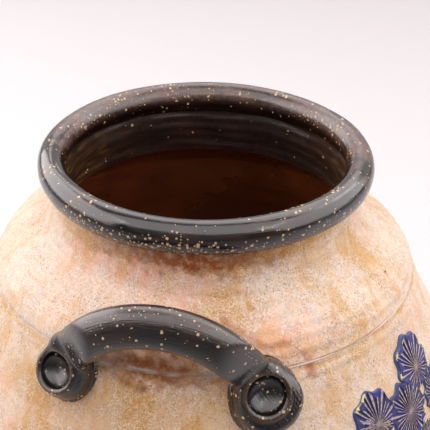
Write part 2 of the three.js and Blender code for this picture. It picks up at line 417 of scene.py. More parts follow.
class Nodes:
    """A node tree put together by short calls."""

    def __init__(self, tree):
        self.tree = tree

    def node(self, kind, inputs=(), **settings):
        made = self.tree.nodes.new(kind)
        for key, value in settings.items():
            setattr(made, key, value)
        for socket, value in dict(inputs).items():
            self.plug(made.inputs[socket], value)
        return made

    def plug(self, socket, value):
        if isinstance(value, bpy.types.NodeSocket):
            self.tree.links.new(value, socket)
        else:
            socket.default_value = value

    def coordinates(self, kind="Object"):
        return self.node("ShaderNodeTexCoord").outputs[kind]

    def attribute(self, name, kind="Fac"):
        return self.node("ShaderNodeAttribute", attribute_name=name).outputs[kind]

    def stretched(self, vector, scale):
        made = self.node("ShaderNodeMapping", {"Vector": vector, "Scale": scale})
        return made.outputs["Vector"]

    def noise(self, vector, scale, detail=3.0, roughness=0.55):
        """Soft noise with so many humps to the metre."""
        inputs = {"Vector": vector, "Scale": scale, "Detail": detail, "Roughness": roughness}
        return self.node("ShaderNodeTexNoise", inputs).outputs["Fac"]

    def cells(self, vector, scale):
        return self.node("ShaderNodeTexVoronoi", {"Vector": vector, "Scale": scale})

    def math(self, operation, a, b, clamp=False):
        made = self.node("ShaderNodeMath", {0: a, 1: b}, operation=operation, use_clamp=clamp)
        return made.outputs[0]

    def add(self, a, b):
        return self.math("ADD", a, b)

    def times(self, a, b):
        return self.math("MULTIPLY", a, b)

    def most(self, a, b):
        return self.math("MAXIMUM", a, b)

    def between(self, value, low, high, start=0.0, stop=1.0):
        """A smooth rise from start to stop as value goes from low to high."""
        inputs = {"Value": value, "From Min": low, "From Max": high, "To Min": start, "To Max": stop}
        made = self.node("ShaderNodeMapRange", inputs, interpolation_type="SMOOTHSTEP")
        return made.outputs["Result"]

    def mix(self, share, a, b):
        made = self.node("ShaderNodeMix", {0: share, 6: a, 7: b}, data_type="RGBA")
        return made.outputs[2]

    def over(self, colour, share, *levels):
        """The colour with that share of another one, given in display levels, laid over it."""
        return self.mix(share, colour, srgb(*levels))


class Look(Nodes):
    """A material, with its shader's fixed values given by name."""

    def __init__(self, name, **shader):
        self.material = bpy.data.materials.new(name)
        self.material.use_nodes = True
        super().__init__(self.material.node_tree)
        self.shader = self.tree.nodes["Principled BSDF"]
        for socket, value in shader.items():
            self.shader.inputs[socket.replace("_", " ")].default_value = value

    def finish(self, colour, roughness, height, depth, strength):
        """Plugs everything in; depth is the height of the relief in metres."""
        inputs = {"Height": height, "Distance": depth, "Strength": strength}
        normal = self.node("ShaderNodeBump", inputs).outputs["Normal"]
        self.plug(self.shader.inputs["Base Color"], colour)
        self.plug(self.shader.inputs["Roughness"], roughness)
        self.plug(self.shader.inputs["Normal"], normal)
        return self.material


# ---- materials ----


def salt_glaze():
    look = Look("salt_glaze", IOR=1.34)
    place = look.coordinates()
    spun = look.attribute("grain", "Vector")
    streaks = look.stretched(spun, (1.0, 1.0, 0.45))

    broad = look.noise(place, 16.0, 2.0)
    flush = look.add(look.attribute("flush"), look.between(broad, 0.46, 0.64, 0.0, 0.5))
    cream = look.mix(flush, srgb(220, 199, 178), srgb(222, 162, 136))

    streak = look.noise(streaks, 70.0, 5.0, 0.65)
    veil = look.noise(streaks, 21.0, 3.0)
    ochre = look.add(look.between(streak, 0.49, 0.6), look.between(veil, 0.52, 0.68, 0.0, 0.6))
    ochre = look.add(look.times(ochre, 0.45), look.times(look.attribute("ochre"), 1.1))
    ochre = look.math("MINIMUM", ochre, 0.95)
    ground = look.mix(ochre, cream, srgb(192, 142, 68))

    # Painted shade and toasted flashing: browns the clay under the rim and under the strap.
    toast_and_painted_shade = look.attribute("toast_and_painted_shade")
    ground = look.over(ground, toast_and_painted_shade, 126, 62, 8)

    grit = look.noise(place, 1250.0, 3.0, 0.8)
    thick = look.noise(streaks, 130.0, 6.0, 0.72)
    crust = look.times(look.between(grit, 0.42, 0.56), look.between(thick, 0.42, 0.56, 0.25, 1.0))
    # Less pale crust where the shade and the toasting are painted.
    cover = look.math("SUBTRACT", 0.9, look.times(toast_and_painted_shade, 0.85), True)
    pale = look.mix(ochre, srgb(234, 220, 210), srgb(230, 206, 170))
    ground = look.mix(look.times(crust, cover), ground, pale)

    freckle = look.between(look.noise(place, 1000.0, 3.0, 0.7), 0.54, 0.62)
    freckle = look.times(freckle, look.between(look.noise(place, 60.0, 3.0), 0.34, 0.62, 0.25, 0.7))
    ground = look.over(ground, freckle, 158, 100, 52)
    stain = look.between(look.noise(place, 330.0, 4.0, 0.7), 0.5, 0.62, 0.0, 0.36)
    ground = look.over(ground, stain, 208, 164, 106)

    ground = look.over(ground, look.attribute("red_brown"), 158, 82, 46)
    # Pale pooled glaze in the groove, with a painted highlight along it.
    ground = look.over(ground, look.attribute("pooled_glaze_and_highlight"), 218, 204, 194)

    pits = look.cells(place, 95.0)
    pit = look.times(
        look.between(pits.outputs["Distance"], 0.045, 0.075, 1.0, 0.0),
        look.between(look.noise(place, 35.0, 1.0), 0.62, 0.66),
    )
    ground = look.over(ground, pit, 70, 38, 24)

    skin = look.noise(place, 430.0, 3.0, 0.6)
    height = look.add(look.times(skin, 0.7), look.times(crust, 0.4))
    height = look.math("SUBTRACT", height, pit)
    roughness = look.between(grit, 0.35, 0.65, 0.32, 0.5)
    return look.finish(ground, roughness, height, 0.0005, 0.8)


# The cream specks: cells to the metre, least and greatest radius in a cell, share of cells filled.
SPECK_LAYERS = [
    (430.0, 0.22, 0.36, 0.9),
    (900.0, 0.2, 0.34, 0.24),
]


def black_glaze(name, dots, tint, lines, matt):
    """An iron-black glaze with cream specks.

    dots is how thickly the specks lie, tint is whether cobalt shows in it, lines is how deep its
    grain is, and matt is its least roughness.
    """
    look = Look(name, IOR=1.8)
    place = look.coordinates()
    grain = look.attribute("grain", "Vector")
    pulled = look.stretched(grain, (0.04, 0.04, 1.0))

    drift = look.noise(place, 38.0, 3.0)
    colour = look.mix(look.between(drift, 0.42, 0.7), srgb(16, 11, 9), srgb(38, 22, 15))
    if tint:
        colour = look.over(colour, look.attribute("cobalt"), 8, 22, 50)

    line = look.noise(pulled, 1100.0, 4.0, 0.6)
    # Matt bloom of the glaze on the rim's back and in the throat, and painted sheen on the handles'
    # straps: a lighter, rougher grey-brown cloud.
    matt_and_painted_sheen = look.attribute("matt_and_painted_sheen")
    mottle = look.noise(place, 420.0, 4.0, 0.7)
    cloud = look.times(matt_and_painted_sheen, look.between(mottle, 0.36, 0.64, 0.35, 1.0))
    cloud = look.times(cloud, look.between(line, 0.35, 0.65, 0.6, 1.0))
    colour = look.over(colour, cloud, 114, 84, 74)
    # The brown of thin glaze; on the handles it also carries a painted highlight along the strap's
    # lower edge.
    worn = look.times(look.attribute("thin_glaze_and_edge_highlight"), look.between(line, 0.4, 0.7, 0.35, 1.0))
    colour = look.over(colour, worn, 132, 92, 50)

    wanted = look.add(look.attribute("specks"), look.between(drift, 0.5, 0.8, 0.0, 0.25))
    wanted = look.times(wanted, dots)
    dot, halo = 0.0, 0.0
    for spacing, small, large, share in SPECK_LAYERS:
        specks = look.cells(place, spacing)
        chance = look.node("ShaderNodeSeparateColor", {"Color": specks.outputs["Color"]})
        present = look.math("LESS_THAN", chance.outputs["Red"], look.times(wanted, share))
        size = look.between(chance.outputs["Green"], 0.0, 1.0, small, large)
        gap = look.math("SUBTRACT", size, specks.outputs["Distance"])
        dot = look.most(dot, look.times(look.between(gap, -0.08, 0.08), present))
        halo = look.most(halo, look.times(look.between(gap, -0.14, 0.0), present))
    colour = look.over(colour, look.times(halo, 0.4), 74, 52, 34)
    colour = look.over(colour, dot, 186, 158, 120)

    height = look.add(look.times(line, lines), look.times(look.noise(place, 160.0, 2.0), 0.5))
    height = look.add(height, look.times(dot, -0.35))
    height = look.add(height, look.times(look.times(mottle, matt_and_painted_sheen), 0.8))
    roughness = look.between(look.noise(place, 90.0, 4.0), 0.3, 0.75, matt, matt + 0.12)
    roughness = look.add(roughness, look.times(dot, 0.25))
    roughness = look.add(roughness, look.times(matt_and_painted_sheen, 0.25))
    return look.finish(colour, roughness, height, 0.0003, 0.5)


def liner_glaze():
    look = Look("liner_glaze", IOR=1.5)
    place = look.coordinates()
    rings = look.stretched(look.attribute("grain", "Vector"), (0.12, 0.12, 1.0))
    drift = look.noise(place, 18.0, 4.0)
    band = look.noise(rings, 160.0, 4.0, 0.6)
    colour = look.mix(look.between(drift, 0.35, 0.7), srgb(108, 56, 30), srgb(150, 80, 40))
    colour = look.over(colour, look.between(band, 0.5, 0.75, 0.0, 0.6), 80, 38, 20)
    height = look.add(band, look.times(look.noise(place, 220.0, 2.0), 0.4))
    roughness = look.between(drift, 0.3, 0.7, 0.22, 0.36)
    return look.finish(colour, roughness, height, 0.0006, 0.5)


def bare_stoneware():
    look = Look("bare_stoneware", IOR=1.45)
    place = look.coordinates()
    drift = look.noise(place, 30.0, 4.0)
    grog = look.cells(place, 420.0)
    colour = look.mix(look.between(drift, 0.35, 0.68), srgb(204, 176, 142), srgb(178, 138, 100))
    sand = look.noise(place, 900.0, 3.0, 0.7)
    colour = look.over(colour, look.between(sand, 0.52, 0.7, 0.0, 0.5), 226, 206, 178)
    speck = look.between(grog.outputs["Distance"], 0.1, 0.22, 1.0, 0.0)
    speck = look.times(speck, look.between(look.noise(place, 200.0, 2.0), 0.52, 0.6))
    colour = look.over(colour, speck, 96, 66, 46)
    height = look.add(look.times(sand, 0.6), look.noise(place, 320.0, 4.0, 0.7))
    roughness = look.between(sand, 0.3, 0.7, 0.78, 0.92)
    return look.finish(colour, roughness, height, 0.0004, 0.6)


def cobalt_slip():
    look = Look("cobalt_slip", IOR=1.5)
    place = look.coordinates()
    ridge = look.attribute("ridge")
    reach = look.attribute("reach")
    drift = look.noise(place, 150.0, 3.0)
    fine = look.noise(place, 800.0, 3.0, 0.65)
    deep = look.mix(look.between(drift, 0.38, 0.6), srgb(18, 22, 112), srgb(24, 20, 60))
    raised = look.mix(look.between(fine, 0.35, 0.65), srgb(116, 108, 136), srgb(186, 166, 146))
    colour = look.mix(look.between(ridge, 0.7, 1.0), deep, raised)
    hub = look.between(reach, 0.08, 0.3, 0.7, 0.0)
    colour = look.over(colour, look.times(hub, ridge), 176, 158, 134)
    tip = look.times(look.between(reach, 0.82, 0.89), look.between(drift, 0.57, 0.64))
    colour = look.over(colour, tip, 212, 202, 150)
    edge = look.between(reach, 0.95, 0.985)
    colour = look.over(colour, edge, 66, 84, 124)
    roughness = look.between(fine, 0.3, 0.7, 0.3, 0.45)
    return look.finish(colour, roughness, fine, 0.0003, 0.5)


# ---- thrown sections ----

RING_PITCH = 6.8
STAND_IN = 1.0  # keeps the highest lump inside the drawn line
BODY_COLUMNS = 440
NECK_COLUMNS = 600
RIM_COLUMNS = 720
THROAT_RING_PITCH = 6.4
RIM_ROWS = 96
RIM_STAND_IN = 0.28
RIM_SWAY = 1.5  # how much further out the rim reaches at its right

# How far apart the rows of a thrown mesh are: close together where the camera comes close.
FOOT_ROWS = 8
BOWL_ROWS = 9
WALL_ROWS = 2.5
SEAM_ROWS = 0.8
LIP_ROWS = 0.4
SHOULDER_ROWS = 0.9
DOME_ROWS = 2
SKIN_ROWS = 3
THROAT_ROWS = 0.7

OUTSIDE, INSIDE, UNDERSIDE = 0, 1, 2  # material slots of the thrown body


def throwing(points):
    """How far a thrown wall stands off its drawn line: lumps, and one long spiral ring."""
    lumps = 0.32 * waves(points, 60, 11) + 0.07 * waves(points, 10, 12)
    swing = 0.9 * waves(points, 80, 13)
    strength = 0.16 + 0.1 * waves(points, 100, 14)
    rise = up_from_seam(points[..., 2]) / RING_PITCH
    return lumps + strength * np.sin(2 * math.pi * rise + azimuth_of(points) + swing) - STAND_IN


def upright(normal):
    """1 on walls, 0 on level faces, so that sections which meet stay in touch."""
    return soft_step(np.abs(normal[:, :1]), 0.1, 0.5)


# Where the glaze and the fire left their marks on the outside, and where shade is painted on it:
# azimuth and below-rim centre (degrees, mm), half width and half height (mm), lean, strength.
OCHRE_PATCHES = [
    (16, 36, 12, 10, 0, 0.7),
    (18, 17, 16, 5, 0, 0.8),
    (38, 12, 34, 4, 0, 0.8),
    (-40, 15, 26, 5, 0, 0.5),
    (-4, 80, 90, 20, 0, 0.5),
    (72, 34, 14, 18, 10, 0.4),
    (52, 60, 30, 12, 0, 0.35),
    (-36, 80, 22, 14, 0, 0.45),
    (62, 66, 30, 16, 0, 0.3),
    (150, 60, 60, 30, 0, 0.35),
    (-120, 90, 70, 40, 0, 0.3),
]
# Painted shade under the rim and under the strap, at the front and the back, mixed with the brown of
# toasted flashing.
SHADE_AND_TOAST_PATCHES = [
    (6, 13, 58, 8, 0, 1.0),
    (2, 25, 30, 9, 0, 0.24),
    (-2, 56, 36, 9, 0, 1.0),
    (-14, 84, 44, 14, 0, 0.3),
    (186, 13, 50, 8, 0, 0.8),
    (178, 56, 36, 9, 0, 0.8),
]
FLUSH_PATCHES = [
    (-18, 22, 40, 8, 0, 0.9),
    (12, 42, 34, 10, 0, 0.5),
    (-4, 33, 24, 8, 0, 0.5),
    (34, 50, 20, 9, 0, 0.6),
    (-30, 40, 24, 16, 0, 0.25),
    (18, 66, 20, 8, 0, 0.3),
]
IRON_PATCHES = [
    (20, 62, 12, 5, 0, 0.3),
]
# Red-brown runs over the glaze: azimuth and below along the run, half width (mm), strength.
RED_BROWN_RUNS = [
    # A dark red-brown line from the strap's right end down past its right pad.
    ([(15.2, 37.4), (19.7, 41.5), (26.1, 47.4), (30.8, 47.6), (33.6, 49.3), (36.8, 55.2)], 1.5, 0.5),
    ([(36.6, 56.5), (36.9, 60), (37.1, 62)], 2.6, 0.75),
    ([(37.1, 62), (37.2, 65)], 1.0, 0.7),
    ([(48.6, 40.6), (47.2, 45), (45.5, 49.5), (42.7, 54.7)], 1.3, 0.32),
    ([(45.5, 49.5), (50.2, 49.7), (55.7, 50.3)], 1.1, 0.3),
    ([(19, 27), (23, 31), (25, 36)], 1.2, 0.3),
]


def runs(points, marks, seed):
    """The strongest of some soft lines at each point."""
    waver = 0.6 * waves(points, 5, seed) + 0.4 * waves(points, 2, seed + 1)
    spot = np.stack([azimuth_of(points) * GRAIN_RADIUS, RIM_LEVEL - points[..., 2]], -1)
    total = np.zeros(points.shape[:-1])
    for stops, half_width, strength in marks:
        stops = np.array([(math.radians(azimuth) * GRAIN_RADIUS, below) for azimuth, below in stops])
        for start, stop in zip(stops, stops[1:]):
            step = stop - start
            share = (((spot - start) @ step) / (step @ step)).clip(0, 1)
            gap = np.linalg.norm(spot - start - share[..., None] * step, axis=-1) + waver
            total = np.maximum(total, strength * np.exp(-((gap.clip(0) / half_width) ** 3)))
    return total


def patches(points, marks, seed):
    """The strongest of some soft-edged marks at each point."""
    ragged = np.stack([waves(points, 7, seed), waves(points, 7, seed + 1)], -1)
    ragged += 0.6 * np.stack([waves(points, 2.6, seed + 2), waves(points, 2.6, seed + 3)], -1)
    azimuth = np.degrees(azimuth_of(points))
    reach = np.hypot(points[..., 0], points[..., 1])
    below = RIM_LEVEL - points[..., 2]
    total = np.zeros(points.shape[:-1])
    for centre, depth, wide, tall, lean, strength in marks:
        turned = (azimuth - centre + 180) % 360 - 180
        across = np.radians(turned) * reach
        down = below - depth
        c, s = math.cos(math.radians(lean)), math.sin(math.radians(lean))
        edge = min(wide, tall) * 0.28
        u = (c * across + s * down + edge * ragged[..., 0]) / wide
        v = (-s * across + c * down + edge * ragged[..., 1]) / tall
        total = np.maximum(total, strength * np.exp(-((u * u + v * v) ** 1.4)))
    return total


def paint_body(piece, points):
    paint_grain(piece, points, up_from_seam(points[:, 2]))
    paint(piece, "flush", patches(points, FLUSH_PATCHES, 31))
    paint(piece, "toast_and_painted_shade", patches(points, SHADE_AND_TOAST_PATCHES, 61))
    from_seam = points[:, 2] - SEAM_LEVEL
    radius = np.hypot(points[:, 0], points[:, 1])
    outer = radius > SEAM_RADIUS - 4
    waver = 0.5 * waves(points, 9, 41)
    broken = soft_step(waves(points, 14, 42), -0.9, 0.1)
    # Pale glaze pooled in the groove, made brighter than the shade there as a painted highlight along
    # it.
    pooled_glaze_and_highlight = hump(from_seam + 0.6 * waver, 0.3, 1.0) * outer * (0.2 + 0.5 * broken)
    stain = hump(from_seam + waver, -2.4, 1.7) * outer * (0.35 + 0.35 * broken)
    paint(piece, "ochre", np.maximum(patches(points, OCHRE_PATCHES, 21), stain))
    paint(piece, "pooled_glaze_and_highlight", pooled_glaze_and_highlight)
    red_brown = np.maximum(patches(points, IRON_PATCHES, 51), runs(points, RED_BROWN_RUNS, 55))
    paint(piece, "red_brown", red_brown * (1 - pooled_glaze_and_highlight))


def thrown_body(outer, inner, foot):
    """The foot, floor and belly, up to the lower lip of the groove."""
    lip = np.array([
        (SEAM_RADIUS, SEAM_LEVEL - GROOVE_HALF_WIDTH),
        (SEAM_RADIUS - 0.35, SEAM_LEVEL - 0.6),
        (SEAM_RADIUS - 0.8, SEAM_LEVEL - 0.1),
        (SEAM_RADIUS - 2.6, SEAM_LEVEL),
    ])
    inside = inset(belly_line, WALL)
    inside = inside[(inside[:, 1] > FLOOR + WALL) & (inside[:, 1] < SEAM_LEVEL - 1)][::-1]
    near_seam = belly_line[belly_line[:, 1] > SEAM_LEVEL - 9]
    far_wall = belly_line[belly_line[:, 1] <= near_seam[0, 1]]
    base = [(0, FOOT_RECESS), (FOOT_RECESS_RADIUS, FOOT_RECESS)]
    base += [(FOOT_RECESS_RADIUS + 2, 0), (FOOT_RADIUS, 0), far_wall[0]]
    bowl = [(FOOT_RECESS_RADIUS + 4, FLOOR + WALL / 4), (FOOT_RECESS_RADIUS - 6, FLOOR), (0, FLOOR)]
    foot_run = respaced(base, FOOT_ROWS)
    wall = (far_wall, WALL_ROWS), (near_seam, SEAM_ROWS), (lip, LIP_ROWS)
    wall_run = joined(*[respaced(line, spacing) for line, spacing in wall])
    inner_run = respaced(joined([(SEAM_RADIUS - WALL, SEAM_LEVEL)], inside, bowl), BOWL_ROWS)
    profile = joined(foot_run, wall_run, inner_run)
    slots = np.full(len(profile), OUTSIDE)
    slots[: len(foot_run) + 1] = UNDERSIDE
    slots[len(foot_run) + len(wall_run) - 1 :] = INSIDE

    def relief(base, profile, normal, azimuth):
        above_foot = soft_step(profile[:, 1:], 6, 30)
        return throwing(base) * above_foot * upright(normal)

    glazes = (outer, inner, foot)
    piece, points = lathe("thrown_body", profile, BODY_COLUMNS, relief, glazes, slots)[:2]
    paint_body(piece, points)
    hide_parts("lower_body")


def thrown_shoulder(outer, inner):
    """The shoulder, with the neck's outer skin drawn up from it to under the roll."""
    start = [
        (SEAM_RADIUS - 2.6, SEAM_LEVEL - 0.3),
        (SEAM_RADIUS - 1.0, SEAM_LEVEL - 0.25),
        (SEAM_RADIUS - 0.8, SEAM_LEVEL + 0.4),
    ]
    inside = inset(shoulder_line, WALL)
    inside = inside[inside[:, 1] > SEAM_LEVEL + 1][::-1]
    lip = [(THROAT_RADIUS + 0.9, below_rim(LIP_BELOW_RIM))]
    outer_run = respaced(joined(start, shoulder_line, neck_line), SHOULDER_ROWS)
    skin = respaced(neck_line[::-1] - (NECK_SKIN, 0), SKIN_ROWS)
    end = [(SEAM_RADIUS - WALL, SEAM_LEVEL - 0.3)]
    inner_run = respaced(joined(lip, inside, end), DOME_ROWS)
    profile = joined(outer_run, skin, inner_run)
    slots = np.full(len(profile), OUTSIDE)
    slots[len(outer_run) + len(skin) - 1 :] = INSIDE

    def relief(base, profile, normal, azimuth):
        return throwing(base) * upright(normal)

    glazes = (outer, inner)
    piece, points = lathe("thrown_shoulder", profile, NECK_COLUMNS, relief, glazes, slots)[:2]
    paint_body(piece, points)
    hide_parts("shoulder")


def thrown_neck(glaze):
    """The neck's thickness inside the shoulder's skin: what shows of it is the black throat."""
    above_bend = neck_line[neck_line[:, 1] > below_rim(NECK_BELOW_RIM)]
    skin = respaced(above_bend - (NECK_SKIN + 0.5, 0), SKIN_ROWS)
    profile = joined(skin, respaced(throat_line[::-1], THROAT_ROWS))

    def relief(base, profile, normal, azimuth):
        rise = 2 * math.pi * profile[:, 1:] / THROAT_RING_PITCH
        ring = np.sin(rise + 1.3 * waves(base, 50, 61) + azimuth[None])
        height = 0.16 + 0.14 * waves(base, 45, 62)
        inner = normal[:, :1] < -0.7
        lip = soft_step(profile[:, 1:], below_rim(LIP_BELOW_RIM), below_rim(LIP_BELOW_RIM - 3))
        return (ring * height + 0.2 * waves(base, 30, 64)) * inner * lip

    piece, points, along = lathe("thrown_neck", profile, NECK_COLUMNS, relief, (glaze,))
    azimuth = azimuth_of(points)
    paint_grain(piece, points, along)
    paint(piece, "specks", np.full(len(points), 0.1))
    warm = hump(np.abs(np.degrees(azimuth)), 98, 30)
    swirl = np.stack([azimuth * GRAIN_RADIUS * 0.2, along, 0 * along], -1)
    streaks = soft_step(waves(swirl, 4, 63), -0.2, 1.2)
    paint(piece, "thin_glaze_and_edge_highlight", warm * (0.18 + 0.65 * streaks))
    paint(piece, "matt_and_painted_sheen", np.full(len(points), 0.12))
    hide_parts("neck_collar")


def rolled_rim(glaze):
    """The thick roll, with the crease where it was folded over at its left."""
    turn = np.linspace(-math.pi / 2, 1.5 * math.pi, RIM_ROWS + 1)[:-1]
    profile = np.stack([
        RIM_RADIUS + RIM_HALF_WIDTH * np.cos(turn),
        RIM_LEVEL + RIM_HALF_HEIGHT * np.sin(turn),
    ], 1)

    def relief(base, profile, normal, azimuth):
        lumps = 0.1 * waves(base, 45, 71) + 0.015 * waves(base, 9, 72)
        angle = np.degrees(turn)[:, None]
        bearing = np.degrees((azimuth[None] + math.pi) % (2 * math.pi) - math.pi)
        strength = soft_step(bearing, -130, -85) * soft_step(bearing, -5, -40)
        crease = -0.4 * strength * hump(angle, 118 + 10 * waves(base, 60, 73), 6)
        crest = 0.12 * hump(angle, 150, 7) * soft_step(bearing, -60, -20)
        sway = RIM_SWAY * hump(bearing, 100, 42) * normal[:, :1]
        return lumps + crease + crest + sway - RIM_STAND_IN

    piece, points, along = lathe("rolled_rim", profile, RIM_COLUMNS, relief, (glaze,))
    paint_grain(piece, points, along)
    azimuth = np.degrees(azimuth_of(points))
    low = soft_step(points[:, 2], RIM_LEVEL + 3.5, RIM_LEVEL - 1)
    radius = np.hypot(points[:, 0], points[:, 1])
    outer = soft_step(radius, RIM_RADIUS, RIM_RADIUS + 4)
    cluster = soft_step(waves(points, 26, 74), 0.1, 1.0)
    front = 0.85 * hump(azimuth, -8, 34) + 0.3 * soft_step(azimuth, 95, 30)
    specks = 0.08 + low * outer * front + 0.3 * cluster * (1 - low)
    back = soft_step(np.abs(azimuth), 75, 105)
    specks += 0.5 * back * soft_step(waves(points, 18, 75), 0.0, 0.9) * (1 - low)
    paint(piece, "specks", specks)
    crest_line = RIM_LEVEL + 5.0 + 0.5 * waves(points, 12, 79)
    inner_edge = hump(points[:, 2], crest_line, 0.9) * (radius < RIM_RADIUS)
    inner_edge *= soft_step(np.abs(azimuth), 140, 165)
    fringe = 0.8 * inner_edge * soft_step(waves(points, 8, 76), -0.4, 0.6)
    paint(piece, "thin_glaze_and_edge_highlight", fringe + 0.12 * cluster * (1 - low))
    ragged = np.degrees(0.12 * waves(points, 9, 77))
    matt = soft_step(np.abs(azimuth) + ragged, 78, 92)
    matt *= soft_step(points[:, 2], RIM_LEVEL - 2, RIM_LEVEL + 4)
    paint(piece, "matt_and_painted_sheen", matt * (0.7 + 0.2 * waves(points, 20, 78)).clip(0, 1))
    cobalt = soft_step(azimuth, -20, 30) * soft_step(azimuth, 110, 80)
    paint(piece, "cobalt", cobalt * soft_step(points[:, 2], RIM_LEVEL + 1, RIM_LEVEL - 5) * outer)
    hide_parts("rim_roll")


# ---- lug handles ----

STRAP_STATIONS = 40
CLAY_FILLET = 6.0  # where strap, knuckle and pad run together
GLAZE_SPREAD = 1.2  # how far the handle's glaze runs out over the body's
HANDLE_ROOT = 0.7  # how deep its skin goes below the body's drawn line
HANDLE_STEP = 0.62  # spacing of the lattice that its skin is found on


def strap_line():
    """Centres and frames along the pulled strap: tangent, outward and across."""
    turn = np.linspace(-STRAP_HALF_TURN, STRAP_HALF_TURN, STRAP_STATIONS) * math.pi
    rise = np.clip(np.cos(turn), 0, None)
    out = STRAP_FOOT_OUT + (STRAP_TOP_OUT - STRAP_FOOT_OUT) * rise**0.75
    below = STRAP_FOOT_BELOW_RIM + (STRAP_TOP_BELOW_RIM - STRAP_FOOT_BELOW_RIM) * rise
    from_end = STRAP_HALF_TURN - np.abs(turn) / math.pi
    out -= STRAP_DROP * soft_step(from_end, 0.19, 0.0)
    centres = np.stack([STRAP_HALF_SPAN * np.sin(turn), -out, below_rim(below)], 1)
    tangent = unit(np.gradient(centres, axis=0))
    outward = 0.7 * unit(centres * (1, 1, 0)) + np.array([0, -0.3, STRAP_TILT])
    outward = unit(outward - tangent * (outward * tangent).sum(1)[:, None])
    return centres, tangent, outward, np.cross(tangent, outward)


def pad_frame(side, shift=0.0, sag=0.0):
    """Where a pad sits on the body: its centre, and the axis pointing out of the clay."""
    azimuth = side * (PAD_AZIMUTH + shift / SEAM_RADIUS)
    level = below_rim(PAD_BELOW_RIM + sag)
    centre = round_points(outside_radius(level), azimuth, level)
    axis = unit(np.array([math.sin(azimuth), -math.cos(azimuth), -outside_slope(level)]))
    return centre, axis


def on_pad(points, side, shift=0.0, sag=0.0):
    """Distance from a pad's axis, and height along it."""
    centre, axis = pad_frame(side, shift, sag)
    offset = points - centre
    height = offset @ axis
    return np.linalg.norm(offset - height[..., None] * axis, axis=-1), height


def strap_field(points):
    """Nearly the signed distance to the pulled strap, and how far along, across and out a point is."""
    frames = [part.astype(np.float32) for part in strap_line()]
    centres, tangent = frames[:2]
    best = np.full(len(points), 1e9, np.float32)
    nearest = np.zeros(len(points), np.int32)
    for index, centre in enumerate(centres):
        distance = ((points - centre) ** 2).sum(-1)
        closer = distance < best
        best[closer] = distance[closer]
        nearest[closer] = index
    gap = np.linalg.norm(np.gradient(centres, axis=0), axis=1)
    forward = ((points - centres[nearest]) * tangent[nearest]).sum(-1)
    station = np.clip(nearest + forward / gap[nearest], 0, STRAP_STATIONS - 1.001)
    before = station.astype(np.int32)
    share = (station - before)[:, None]
    centre, tangent, outward, across = [
        part[before] * (1 - share) + part[before + 1] * share for part in frames
    ]
    offset = points - centre
    a = (offset * across).sum(-1)
    o = (offset * outward).sum(-1)
    at_end = (station <= 0) | (station >= STRAP_STATIONS - 1.01)
    slip = np.where(at_end, np.abs((offset * tangent).sum(-1)), 0)
    from_end = np.minimum(station, STRAP_STATIONS - 1 - station) / STRAP_STATIONS
    half_thick = STRAP_THICKNESS / 2 - STRAP_THINNING * soft_step(from_end, 0.22, 0.02)
    half_wide = STRAP_WIDTH / 2 - STRAP_NARROWING * soft_step(from_end, 0.14, 0.0)
    parts = (a / half_wide, o / half_thick, slip / STRAP_END)
    reach = sum(np.abs(part) ** STRAP_SQUARENESS for part in parts) ** (1 / STRAP_SQUARENESS)
    return (reach - 1) * half_thick * 0.9, station, a, o


def pad_field(points, side):
    """Nearly the signed distance to a round of clay pressed on to the body."""
    radius, height = on_pad(points, side, PAD_SHIFT[side], PAD_SAG[side])
    wobble = 0.35 * waves(points, 18, 81)
    shrink = PAD_SHRINK[side] * soft_step(height, 1.5, PAD_HEIGHT + 1.5)
    wall = radius - (PAD_FOOT[side] - shrink + wobble)
    return smooth_max(wall, height - PAD_HEIGHT + 0.6, 4.0)


def crest_field(points, side):
    """The ring of clay that the thumb pushed up round its dimple."""
    radius, height = on_pad(points, side)
    return np.hypot(radius - DIMPLE_RADIUS[side] - 1.0, height - PAD_HEIGHT + 1.2) - 1.3


def knuckle_field(points, side):
    """Clay smeared down from the strap's end, over the top of its pad."""
    centre, axis = pad_frame(side)
    up = unit(np.array([0, 0, 1]) - axis[2] * axis)
    away, rise, out, radius = KNUCKLE[side]
    spot = centre + rise * up + out * axis + away * side * np.cross(up, axis)
    return np.linalg.norm(points - spot, axis=-1) - radius


def dimple_field(points, side):
    radius, height = on_pad(points, side)
    bowl = np.hypot(radius / DIMPLE_RADIUS[side], (height - PAD_HEIGHT - 0.6) / DIMPLE_DEPTH) - 1
    return bowl * DIMPLE_DEPTH


def body_distance(points):
    radius = np.hypot(points[..., 0], points[..., 1])
    slope = outside_slope(points[..., 2])
    return (radius - outside_radius(points[..., 2])) / np.hypot(1, slope)


def handle_field(points):
    """The whole handle: strap and pads run together, thumbed, and set on the body."""
    flat = points.reshape(-1, 3).astype(np.float32)
    away = body_distance(flat)
    near = (away > -2) & (away < 60)
    spots, away = flat[near], away[near]
    shape = strap_field(spots)[0]
    for side in (-1, 1):
        radius, height = on_pad(spots, side)
        funnel = DIMPLE_RADIUS[side] + 0.5 + 1.3 * (height - PAD_HEIGHT)
        over_dimple = np.maximum(radius - funnel, PAD_HEIGHT + 0.2 - height)
        shape = smooth_max(shape, -over_dimple, CLAY_FILLET)
        shape = smooth_min(shape, pad_field(spots, side), CLAY_FILLET)
        shape = smooth_min(shape, knuckle_field(spots, side), CLAY_FILLET)
    for side in (-1, 1):
        shape = smooth_max(shape, -dimple_field(spots, side), 1.2)
        shape = smooth_min(shape, crest_field(spots, side), 2.0)
    above = smooth_min(shape, away, 2.2)
    shape = np.where(away > 0.05, above, shape - GLAZE_SPREAD)
    value = np.full(len(flat), 10, np.float32)
    value[near] = np.maximum(shape, -HANDLE_ROOT - away)
    return value.reshape(points.shape[:-1])


